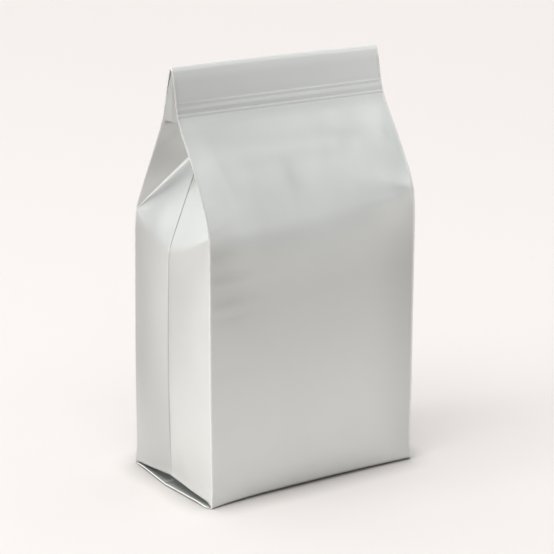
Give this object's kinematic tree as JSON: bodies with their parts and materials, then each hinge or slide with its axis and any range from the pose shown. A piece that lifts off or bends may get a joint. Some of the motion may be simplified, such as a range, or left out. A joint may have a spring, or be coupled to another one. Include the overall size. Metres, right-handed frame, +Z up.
{
  "type": "gusseted bag",
  "caption": "Plain satin silver foil side-gusset bag, filled and standing, with a ribbed closing strip and its header folded over behind.",
  "frame": {"origin": "middle of the underside, where the bag rests", "axes": "+Z up, the front panel faces -Y, the gussets face -X and +X"},
  "size_m": [0.118, 0.0729, 0.1943],
  "materials": {
    "film": "satin metallised laminate film"
  },
  "bodies": {
    "root": {"bag": "film"}
  },
  "joints": []
}
